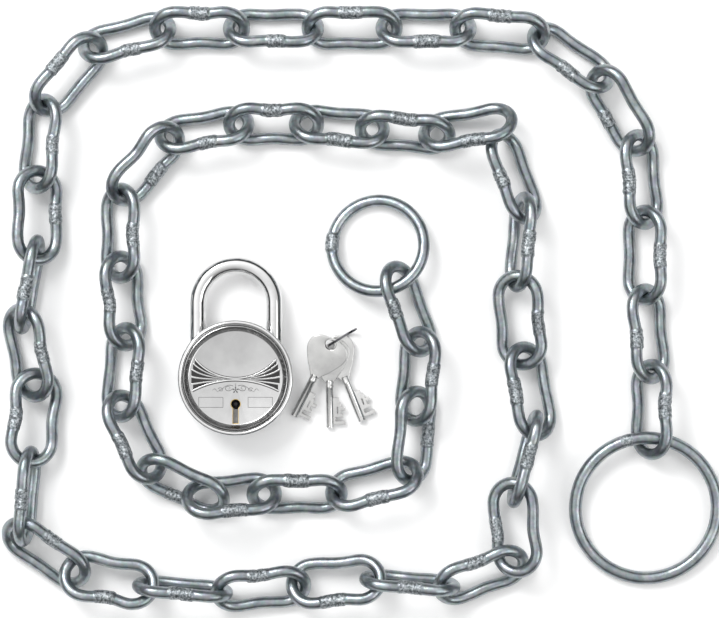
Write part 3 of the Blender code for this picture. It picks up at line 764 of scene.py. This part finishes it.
def ring_mesh(hoop, weld):
    """A welded ring."""
    weld_heading, weld_half, lump, seed = weld
    along_heading = math.radians(weld_heading) - math.radians(hoop.heading)
    turns = np.linspace(0, 2 * np.pi, RING_STEPS, endpoint=False)
    radius = hoop.span / 2
    centres = np.stack([radius * np.cos(turns), radius * np.sin(turns), np.zeros(RING_STEPS)], 1)
    outward, normal = loop_frame(centres)
    off = np.abs((turns - along_heading + np.pi) % (2 * np.pi) - np.pi) * radius
    envelope = weld_envelope(weld_half, off)
    angles = np.linspace(0, 2 * np.pi, RING_SIDES, endpoint=False)
    rows = np.arange(RING_STEPS)[:, None]
    uneven = (np.sin(rows * 0.314 + seed) * np.sin(angles + seed)
              + np.sin(rows * 0.1884) * np.sin(2 * angles))
    radii = hoop.wire / 2 * (0.988 + 0.006 * uneven)
    for row in np.nonzero(envelope > 0)[0]:
        for column, angle in enumerate(angles):
            facing = outward[row] * math.cos(angle) + normal[row] * math.sin(angle)
            room = max(0.0, min(1.0, 0.75 + facing[2]))
            spot = Vector(centres[row] + facing * hoop.wire / 2)
            crust = WELD_ROUGH * 1.2 * (crust_height(spot, seed) - 0.25)
            radii[row, column] += envelope[row] * room * (lump + crust * min(1.0, lump / (0.3 * MM)))
    amount = np.repeat(envelope[:, None], RING_SIDES, 1)
    mesh = wire_mesh(hoop.name, centres, outward, normal, radii, True, seed, amount)
    mesh.shade_smooth()
    return mesh


def body_of_link(number):
    """The CAD body and node that holds a link."""
    if number in FUSED_PAIRS:
        return f"link_{number:02d}_{number + 1:02d}"
    if number - 1 in FUSED_PAIRS:
        return f"link_{number - 1:02d}_{number:02d}"
    return f"link_{number:02d}"


def build_chain(hoops, steel):
    for number, hoop in enumerate(hoops[1:-1], start=1):
        body = body_of_link(number)
        mesh = link_mesh(number, hoop)
        place(f"fine_link_{number:02d}", mesh, hoop.placement(), steel, body, [body])
    for hoop, weld in ((hoops[0], LARGE_RING_WELD), (hoops[-1], SMALL_RING_WELD)):
        mesh = ring_mesh(hoop, weld)
        place(f"fine_{hoop.name}", mesh, hoop.placement(), steel, hoop.name, [hoop.name])


# ---------------- padlock

def case_profile():
    """The case's cup, from the inside of its floor up over the lip and down its outside."""
    inner = CASE_RADIUS - CASE_WALL
    points = [(0.0, CASE_WALL)]
    points += arc((inner - 2 * MM, CASE_WALL + 2 * MM), 2 * MM, -90, 0, 6)
    points += arc((inner + 0.3 * MM, CASE_HEIGHT - 0.3 * MM), 0.3 * MM, 180, 90, 3)
    points += arc((CASE_RADIUS - 0.4 * MM, CASE_HEIGHT - 0.4 * MM), 0.4 * MM, 90, 0, 4)
    points += [(CASE_RADIUS, CASE_HEIGHT - 1.6 * MM), (CASE_RADIUS - 0.25 * MM, CASE_HEIGHT - 1.9 * MM),
               (CASE_RADIUS - 0.25 * MM, CASE_HEIGHT - 2.3 * MM), (CASE_RADIUS, CASE_HEIGHT - 2.6 * MM)]
    points += arc((CASE_RADIUS - CASE_CORNER, CASE_CORNER), CASE_CORNER, 0, -90, 12)
    foot = CASE_RADIUS - CASE_CORNER
    points += [(foot - 1.0 * MM, 0.0), (foot - 1.4 * MM, 0.25 * MM), (0.0, 0.25 * MM)]
    return points


def build_case(lock, satin):
    steps = []
    for side in (-1, 1):
        turn = Matrix.Translation((side * SHACKLE_HALF, CASE_RADIUS, SHACKLE_PLANE))
        turn = turn @ Matrix.Rotation(math.radians(90), 4, "X")
        hole = cylinder_mesh(SHACKLE_WIRE / 2 + LEG_CLEARANCE, 36 * MM, turn)
        steps.append((hole, "DIFFERENCE"))
    mesh = carve(lathe_mesh("case", case_profile(), 144), steps)
    place_on_lock("fine_case", smooth_mesh(mesh), lock, satin, "padlock_case")


def build_bezel(lock, chrome):
    """The rolled rim: a round bead, a fine groove, and a skirt down to the case."""
    low = CASE_HEIGHT + 0.3 * MM
    bead = 1.05 * MM
    middle = (BEZEL_OUTER - bead, PADLOCK_HEIGHT - bead)
    points = arc(middle, bead, 0, 150, 14)
    points += [(BEZEL_INNER + 0.25 * MM, PADLOCK_HEIGHT - 0.75 * MM),
               (BEZEL_INNER, PADLOCK_HEIGHT - 1.1 * MM), (BEZEL_INNER, low),
               (BEZEL_OUTER - 0.5 * MM, low), (BEZEL_OUTER - 0.3 * MM, low + 0.15 * MM),
               (BEZEL_OUTER - 0.3 * MM, low + 0.55 * MM), (BEZEL_OUTER - 0.02 * MM, low + 0.85 * MM)]
    mesh = smooth_mesh(lathe_mesh("bezel", points, 160, closed=True), 50)
    place_on_lock("fine_bezel", mesh, lock, chrome, "padlock_bezel")


def cover_profile():
    """The cover: flat face, soft turn, dished flange up to its rim, and the same underneath."""
    rim = PADLOCK_HEIGHT - 0.3 * MM
    sheet = 1.0 * MM
    slope = [(0.0, FACE_HEIGHT), (FACE_RADIUS - 0.5 * MM, FACE_HEIGHT),
             (FACE_RADIUS - 0.12 * MM, FACE_HEIGHT + 0.1 * MM),
             (FACE_RADIUS + 0.15 * MM, FACE_HEIGHT + 0.35 * MM)]
    for part in np.linspace(0.125, 1.0, 8):
        radius = FACE_RADIUS + 0.15 * MM + (COVER_RADIUS - FACE_RADIUS - 0.6 * MM) * part
        height = FACE_HEIGHT + 0.35 * MM + (rim - FACE_HEIGHT - 0.5 * MM) * part ** 1.15
        slope.append((radius, height))
    slope += [(COVER_RADIUS - 0.25 * MM, rim), (COVER_RADIUS - 0.05 * MM, rim - 0.08 * MM),
              (COVER_RADIUS, rim - 0.3 * MM), (COVER_RADIUS, rim - 1.2 * MM)]
    slope += [(FACE_RADIUS + 0.8 * MM, FACE_HEIGHT - sheet), (0.0, FACE_HEIGHT - sheet)]
    return slope


def keyhole_cut():
    """The tool that cuts the keyhole: a round with a slot below it."""
    centre, radius, slot, end = (value * MM for value in KEYHOLE_MM)
    bore = cylinder_mesh(radius, 8 * MM, Matrix.Translation((0, centre, FACE_HEIGHT)))
    box = box_mesh((-slot / 2, end, FACE_HEIGHT - 4 * MM), (slot / 2, centre, FACE_HEIGHT + 4 * MM))
    return carve(bore, [(box, "UNION")])


def build_cover(lock, chrome):
    mesh = carve(lathe_mesh("cover", cover_profile(), 160), [(keyhole_cut(), "DIFFERENCE")])
    place_on_lock("fine_cover", smooth_mesh(mesh, 30), lock, chrome, "front_cover")


def upper_arc_y(x):
    centre, radius = UPPER_ARC_MM
    return centre - math.sqrt(radius ** 2 - x ** 2)


def lower_arc_y(x):
    centre, radius = LOWER_ARC_MM
    return centre + math.sqrt(radius ** 2 - x ** 2)


def arc_line(height_at, lift, limit=ARC_LIMIT_MM, steps=64):
    """Points of one of the face's arcs, raised a little and kept on the flat face."""
    xs = np.linspace(-limit, limit, steps + 1)
    points = [(x, height_at(x) + lift) for x in xs]
    return [point for point in points if math.hypot(*point) < limit]


def in_metres(outline):
    return [(x * MM, y * MM) for x, y in outline]


def line_outline(points, width):
    return in_metres(strip(points, [width] * len(points)))


def wing_edge(part, x):
    """A height between the lower arc (0) and the upper arc (1)."""
    return lower_arc_y(x) + (upper_arc_y(x) - lower_arc_y(x)) * part


def wing_stripe(index, side):
    """One black stripe of a wing, from its point near the middle to its wide outer end."""
    low_part = index / WING_STRIPES
    high_part = (index + 1) / WING_STRIPES
    upper = []
    lower = []
    for x in np.linspace(WING_INNER_MM, WING_OUTER_MM, 40):
        rib = 0.16 + 0.30 * (x - WING_INNER_MM) / (WING_OUTER_MM - WING_INNER_MM)
        top = wing_edge(high_part, x) - rib
        bottom = wing_edge(low_part, x) + rib
        inside = math.hypot(x, top) < WING_OUTER_MM and math.hypot(x, bottom) < WING_OUTER_MM
        if top - bottom > 0.06 and inside:
            upper.append((side * x, top))
            lower.append((side * x, bottom))
    return in_metres(upper + lower[::-1])


def wing_ribs(side):
    """The light ribs between the stripes, tapering towards the middle."""
    outlines = []
    for index in range(1, WING_STRIPES):
        part = index / WING_STRIPES
        xs = np.linspace(WING_INNER_MM + 1.2, WING_OUTER_MM, 36)
        points = [(side * x, wing_edge(part, x)) for x in xs
                  if math.hypot(x, wing_edge(part, x)) < WING_OUTER_MM]
        widths = np.linspace(0.18, 0.62, len(points))
        outlines.append(in_metres(strip(points, list(widths))))
    return outlines


def scroll_lines():
    """A small symmetrical flourish: paired curls and leaves beside a blossom."""
    lines = []
    for side in (-1, 1):
        for centre, size, turns, start in (((3.6, -5.1), 1.5, 1.25, 200), ((7.4, -5.9), 1.1, 1.1, 30)):
            curl = []
            for step in range(26):
                part = step / 25
                angle = math.radians(start + 360 * turns * part)
                radius = size * (1 - 0.72 * part)
                curl.append((side * (centre[0] + radius * math.cos(angle) * 1.25),
                             centre[1] + radius * math.sin(angle)))
            lines.append(curl)
        lines.append([(side * (1.2 + 8.2 * t), -4.0 - 1.9 * t + 0.9 * math.sin(math.pi * t * 1.6))
                      for t in np.linspace(0, 1, 18)])
        lines.append([(side * (9.4 + 2.0 * t), -6.3 + 0.9 * math.sin(math.pi * t))
                      for t in np.linspace(0, 1, 8)])
    return lines


def blossom_outlines():
    """Five petals round a dot."""
    centre = (0.0, -6.0)
    outlines = [arc(centre, 0.42, 0, 342, 19)]
    for petal in range(5):
        heading = math.radians(90 + 72 * petal)
        spot = (centre[0] + 1.15 * math.cos(heading), centre[1] + 1.15 * math.sin(heading))
        loop = []
        for step in range(16):
            angle = 2 * math.pi * step / 16
            x = 0.62 * math.cos(angle)
            y = 0.34 * math.sin(angle)
            loop.append((spot[0] + x * math.cos(heading) - y * math.sin(heading),
                         spot[1] + x * math.sin(heading) + y * math.cos(heading)))
        outlines.append(loop)
    outlines.append([(-0.16, -4.0), (0.16, -4.0), (0.05, -2.7), (-0.05, -2.7)])
    return [in_metres(outline) for outline in outlines]


def frame_outlines(width):
    """Thin rectangular frames for a plain label at each side."""
    (left, low), (right, high) = LABEL_MM
    outlines = []
    for side in (-1, 1):
        for start, end in (((left, low), (right, low)), ((left, high), (right, high))):
            outlines.append(line_outline([(side * start[0], start[1]), (side * end[0], end[1])], width))
        for x in (left, right):
            outlines.append(line_outline([(side * x, low), (side * x, high)], width))
    return outlines


def build_face_ornament(lock, chrome, enamel, line_grey):
    top = FACE_HEIGHT
    foot = top - 0.05 * MM
    ribs = [line_outline(arc_line(upper_arc_y, -0.15), 0.75),
            line_outline(arc_line(lower_arc_y, 0.15), 0.75)]
    mesh = prism_mesh("arc_ribs", ribs, foot, top + 0.22 * MM, 0.12 * MM)
    place_on_lock("face_arc_ribs", smooth_mesh(mesh, 60), lock, chrome)
    inked = [line_outline(arc_line(upper_arc_y, 0.42, 22.6), 0.28),
             line_outline(arc_line(upper_arc_y, -0.66, 22.6), 0.34),
             line_outline(arc_line(lower_arc_y, 0.66, 22.6), 0.22),
             line_outline(arc_line(lower_arc_y, -0.45, 22.6), 0.36)]
    for side in (-1, 1):
        inked += [wing_stripe(index, side) for index in range(WING_STRIPES)]
    mesh = prism_mesh("inked", inked, foot, top + 0.03 * MM)
    place_on_lock("face_black_enamel", smooth_mesh(mesh), lock, enamel)
    fins = wing_ribs(-1) + wing_ribs(1)
    mesh = prism_mesh("fins", fins, foot, top + 0.14 * MM, 0.06 * MM)
    place_on_lock("face_wing_ribs", smooth_mesh(mesh, 60), lock, chrome)
    scrolls = [in_metres(strip(line, list(np.linspace(0.30, 0.16, len(line)))))
               for line in scroll_lines()]
    mesh = prism_mesh("scrolls", scrolls + blossom_outlines(), foot, top + 0.05 * MM)
    place_on_lock("face_flourish", smooth_mesh(mesh), lock, line_grey)
    mesh = prism_mesh("frames", frame_outlines(0.22), foot, top + 0.06 * MM)
    place_on_lock("face_label_frames", smooth_mesh(mesh), lock, line_grey)


def shackle_route():
    """The shackle's middle line from its heel end over the bow to its toe end."""
    bend = SHACKLE_TOP - SHACKLE_WIRE / 2 - SHACKLE_HALF
    left = [(-SHACKLE_HALF, y) for y in np.linspace(HEEL_END, bend, 24)[:-1]]
    bow = arc((0.0, bend), SHACKLE_HALF, 180, 0, 48)
    right = [(SHACKLE_HALF, y) for y in np.linspace(bend, TOE_END, 20)[1:]]
    return np.array([(x, y, 0.0) for x, y in left + bow + right])


def rounded_ends(centres, radius, rounding):
    """Adds close rows at both ends and returns the radii that round them off."""
    start = centres[0] - centres[1]
    start = start / np.linalg.norm(start)
    end = centres[-1] - centres[-2]
    end = end / np.linalg.norm(end)
    angles = np.radians([80, 60, 40, 20])
    body = centres[1:-1]
    first = [centres[0] - start * (rounding - rounding * math.sin(a)) for a in angles]
    last = [centres[-1] - end * (rounding - rounding * math.sin(a)) for a in angles]
    route = np.array(first + list(body) + last[::-1])
    narrow = radius - rounding + rounding * np.cos(angles)
    radii = np.concatenate([narrow, np.full(len(body), radius), narrow[::-1]])
    return route, radii


def build_shackle(lock, chrome):
    sides = 48
    route, radii = rounded_ends(shackle_route(), SHACKLE_WIRE / 2, 0.9 * MM)
    outward, normal = flat_frame(np.gradient(route, axis=0))
    mesh = wire_mesh("shackle", route, outward, normal, np.repeat(radii[:, None], sides, 1), False)
    low, high, depth = (value * MM for value in NOTCH_MM)
    inner = SHACKLE_HALF - SHACKLE_WIRE / 2
    cut = box_mesh((inner - 2 * MM, low, -5 * MM), (inner + depth, high, 5 * MM))
    mesh = carve(mesh, [(cut, "DIFFERENCE")])
    matrix = lock @ Matrix.Translation((0, 0, SHACKLE_PLANE))
    place("fine_shackle", smooth_mesh(mesh, 40), matrix, chrome, "shackle",
          ["shackle"])


# ---------------- keys

def bow_outline(count=96):
    """The bow: a rounded triangle whose lowest corner runs down as a neck."""
    points = []
    for step in range(count):
        angle = 2 * math.pi * step / count
        radius = 10.0 * (1 + 0.1 * math.cos(3 * (angle + math.pi / 2)))
        radius += 3.2 * max(0.0, math.cos(angle + math.pi / 2)) ** 30
        points.append((radius * math.cos(angle), -6.0 + radius * math.sin(angle)))
    return in_metres(points)


def bit_outline():
    """The bit's stepped edge."""
    points = [(0.0, BIT_STEPS_MM[0][0])]
    for (start, depth), (end, _) in zip(BIT_STEPS_MM, BIT_STEPS_MM[1:]):
        points += [(BIT_REACH_MM * depth, start), (BIT_REACH_MM * depth, end)]
    points.append((0.0, BIT_STEPS_MM[-1][0]))
    return in_metres(points)


def stem_mesh():
    """The tubular stem along -Y with its collar and its open end."""
    start = STEM_START
    end = -STEM_END
    profile = [(0.0, start), (1.7 * MM, start), (STEM_COLLAR, start + 0.3 * MM),
               (STEM_COLLAR, start + 2.6 * MM), (STEM_RADIUS, start + 2.8 * MM),
               (STEM_RADIUS, start + 3.6 * MM), (STEM_COLLAR, start + 3.8 * MM),
               (STEM_COLLAR, end - 0.9 * MM), (STEM_RADIUS, end - 0.75 * MM),
               (STEM_RADIUS, end - 0.15 * MM), (1.85 * MM, end), (STEM_BORE + 0.15 * MM, end),
               (STEM_BORE, end - 0.15 * MM), (STEM_BORE, end - 12 * MM), (0.0, end - 12.6 * MM)]
    mesh = lathe_mesh("stem", profile, 40)
    mesh.transform(Matrix.Rotation(math.radians(90), 4, "X"))
    return mesh


def key_mesh():
    """One key: bow, stem and bit in one, with the bit's cut."""
    hole = arc((0.0, 0.0), KEY_HOLE, 0, 352, 44)
    bow = outline_mesh("bow", [bow_outline(), hole], BOW_SHEET, 0.35 * MM)
    bit = outline_mesh("bit", [bit_outline()], BIT_SHEET, 0.12 * MM)
    slit = box_mesh((3.4 * MM, -34.4 * MM, -2 * MM), (4.2 * MM, -31.0 * MM, 2 * MM))
    spot = Matrix.Translation((-1.4 * MM, -15.6 * MM, 1.3 * MM))
    dimple = cylinder_mesh(0.8 * MM, 1.6 * MM, spot, 20)
    return carve(bow, [(stem_mesh(), "UNION"), (bit, "UNION"), (slit, "DIFFERENCE"),
                       (dimple, "DIFFERENCE")])


def build_keys(hang, nickel, dark_steel):
    middle = KEY_RING_RADIUS + KEY_RING_WIRE / 2
    shape = smooth_mesh(key_mesh(), 32)
    for index, fan in enumerate(KEY_FANS):
        height = KEY_LOWEST + index * KEY_STACK
        dip = math.asin((height - STEM_RADIUS) / -STEM_END)
        bulge = KEY_RING_RADIUS - math.sqrt(KEY_RING_RADIUS ** 2 - (height - middle) ** 2)
        spot = flat_direction(KEY_RING_HEADING) * bulge + Vector((0, 0, height))
        matrix = hang @ Matrix.Translation(spot) @ Matrix.Rotation(math.radians(fan), 4, "Z")
        matrix = matrix @ Matrix.Rotation(dip, 4, "X")
        name = f"key_{index + 1}"
        place(f"fine_{name}", shape.copy(), matrix, nickel, name, [name])
    build_split_ring(hang, middle, dark_steel)


def build_split_ring(hang, middle, dark_steel):
    """Two turns of flat wire, one end lifted over to the other side."""
    count = 120
    part = np.linspace(0, 1, count)
    angle = part * SPLIT_RING_TURNS * 2 * math.pi + math.radians(40)
    shift = 0.32 * MM * np.tanh((part - 0.5) * 14)
    radius = KEY_RING_RADIUS
    centres = np.stack([radius * np.cos(angle), radius * np.sin(angle), shift], 1)
    outward = np.stack([np.cos(angle), np.sin(angle), np.zeros(count)], 1)
    normal = np.broadcast_to(np.array([0.0, 0.0, 1.0]), outward.shape)
    around = np.linspace(0, 2 * np.pi, 16, endpoint=False)
    wide, thin = SPLIT_RING_STRIP
    flat = (np.abs(np.cos(around) / wide) ** 4 + np.abs(np.sin(around) / thin) ** 4) ** -0.25
    mesh = wire_mesh("split_ring", centres, outward, normal, np.repeat(flat[None, :], count, 0), False)
    matrix = (hang @ Matrix.Translation((0, 0, middle))
              @ Matrix.Rotation(math.radians(KEY_RING_HEADING), 4, "Z")
              @ Matrix.Rotation(math.radians(90), 4, "X") @ Matrix.Translation((radius, 0, 0)))
    place("fine_key_ring", smooth_mesh(mesh, 50), matrix, dark_steel, "key_ring",
          ["key_ring"])


# ---------------- inner parts, stage, light, camera

def dress_node(name, material):
    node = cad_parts[name]
    node.data.materials.clear()
    node.data.materials.append(material)


def dress_inner_parts(steel, brass):
    """The hidden CAD nodes keep their shape; the inner works get a near-black sheet that paints the
    shade inside the keyhole, and the keyhole plate gets its own brass.
    """
    for name in ("key_pin", "lever_post", "lever_spring", "shackle_spring", "bolt_guide", "locking_bolt",
                 "lever_1", "lever_2", "lever_3"):
        dress_node(name, steel)
    dress_node("keyhole_plate", brass)


def build_floor():
    mesh = prism_mesh("floor", [[(-6, -6), (6, -6), (6, 6), (-6, 6)]], -0.02, 0.0)
    mesh.materials.append(floor_material())
    floor = bpy.data.objects.new("floor", mesh)
    add_to_scene(floor)


def light_world():
    """A dome that is dark in a band above the horizon and brighter behind the top left corner."""
    world = bpy.data.worlds.new("studio")
    bpy.context.scene.world = world
    world.use_nodes = True
    tree = world.node_tree
    way = add(tree, "ShaderNodeTexCoord").outputs["Generated"]
    parts = add(tree, "ShaderNodeSeparateXYZ", {"Vector": way}).outputs
    side = plus(tree, times(tree, parts["Y"], 0.7), times(tree, parts["X"], -0.5))
    side = span_of(tree, side, 0.35, 1.65, (-0.7, 0.7))
    shade = ramp(tree, parts["Z"], [(0.0, 0.75), (0.05, 0.55), (0.11, 0.02),
                                    (0.42, 0.03), (0.60, 0.85), (0.85, 1.0)])
    background = tree.nodes["Background"]
    tree.links.new(mixed(tree, 1.0, shade, side, "MULTIPLY"), background.inputs["Color"])
    background.inputs["Strength"].default_value = 1.15


def add_area(name, spot, size, power):
    """A soft square light aimed at the origin."""
    data = bpy.data.lights.new(name, "AREA")
    data.size = size
    data.energy = power
    lamp = bpy.data.objects.new(name, data)
    lamp.location = spot
    lamp.rotation_euler = Vector(spot).to_track_quat("Z", "Y").to_euler()
    lamp.visible_camera = False
    add_to_scene(lamp)


def add_camera():
    data = bpy.data.cameras.new("camera")
    data.sensor_width = SENSOR_MM
    data.lens = SENSOR_MM * VIEW_HEIGHT / VIEW_WIDTH
    data.clip_start = 0.05
    data.clip_end = 30.0
    camera = bpy.data.objects.new("camera", data)
    camera.location = (*VIEW_CENTRE, VIEW_HEIGHT)
    add_to_scene(camera)
    bpy.context.scene.camera = camera


def main():
    steel = galvanised_material()
    chrome = polished_material("padlock_polish", 0.64, 0.72, (0.06, 0.12))
    face = polished_material("face_polish", 0.50, 0.58, (0.16, 0.24))
    nickel = polished_material("key_satin", (0.61, 0.61, 0.605), (0.72, 0.72, 0.71), (0.18, 0.28),
                               FINE_MARKS)
    dark_steel = polished_material("ring_steel", (0.10, 0.10, 0.11), (0.18, 0.18, 0.19), (0.2, 0.32),
                                   FINE_MARKS)
    line_grey = polished_material("engraved_grey", 0.10, 0.16, (0.3, 0.4))
    hoops = lay_chain()
    build_chain(hoops, steel)
    ring_centre = (hoops[-1].back + hoops[-1].front) / 2
    ring_centre.z = 0.0
    lock = Matrix.Translation(ring_centre + PADLOCK_FROM_RING)
    build_case(lock, brushed_side_material())
    build_bezel(lock, chrome)
    build_cover(lock, face)
    build_face_ornament(lock, chrome, enamel_material(), line_grey)
    build_shackle(lock, chrome)
    build_keys(Matrix.Translation(ring_centre + KEYS_FROM_RING), nickel, dark_steel)
    # the inner works' near-black sheet is painted shade for the dark inside of the keyhole; the brass is
    # the plate's own colour
    dress_inner_parts(sheet_material("inner_sheet_painted_shade", (0.02, 0.02, 0.022), (0.05, 0.05, 0.052)),
                      sheet_material("plate_brass", (0.62, 0.44, 0.16), (0.80, 0.62, 0.28)))
    build_floor()
    light_world()
    add_area("key_light", *KEY_LIGHT)
    add_area("fill_light", *FILL_LIGHT)
    add_camera()
    bpy.context.scene.view_settings.view_transform = "Standard"


main()
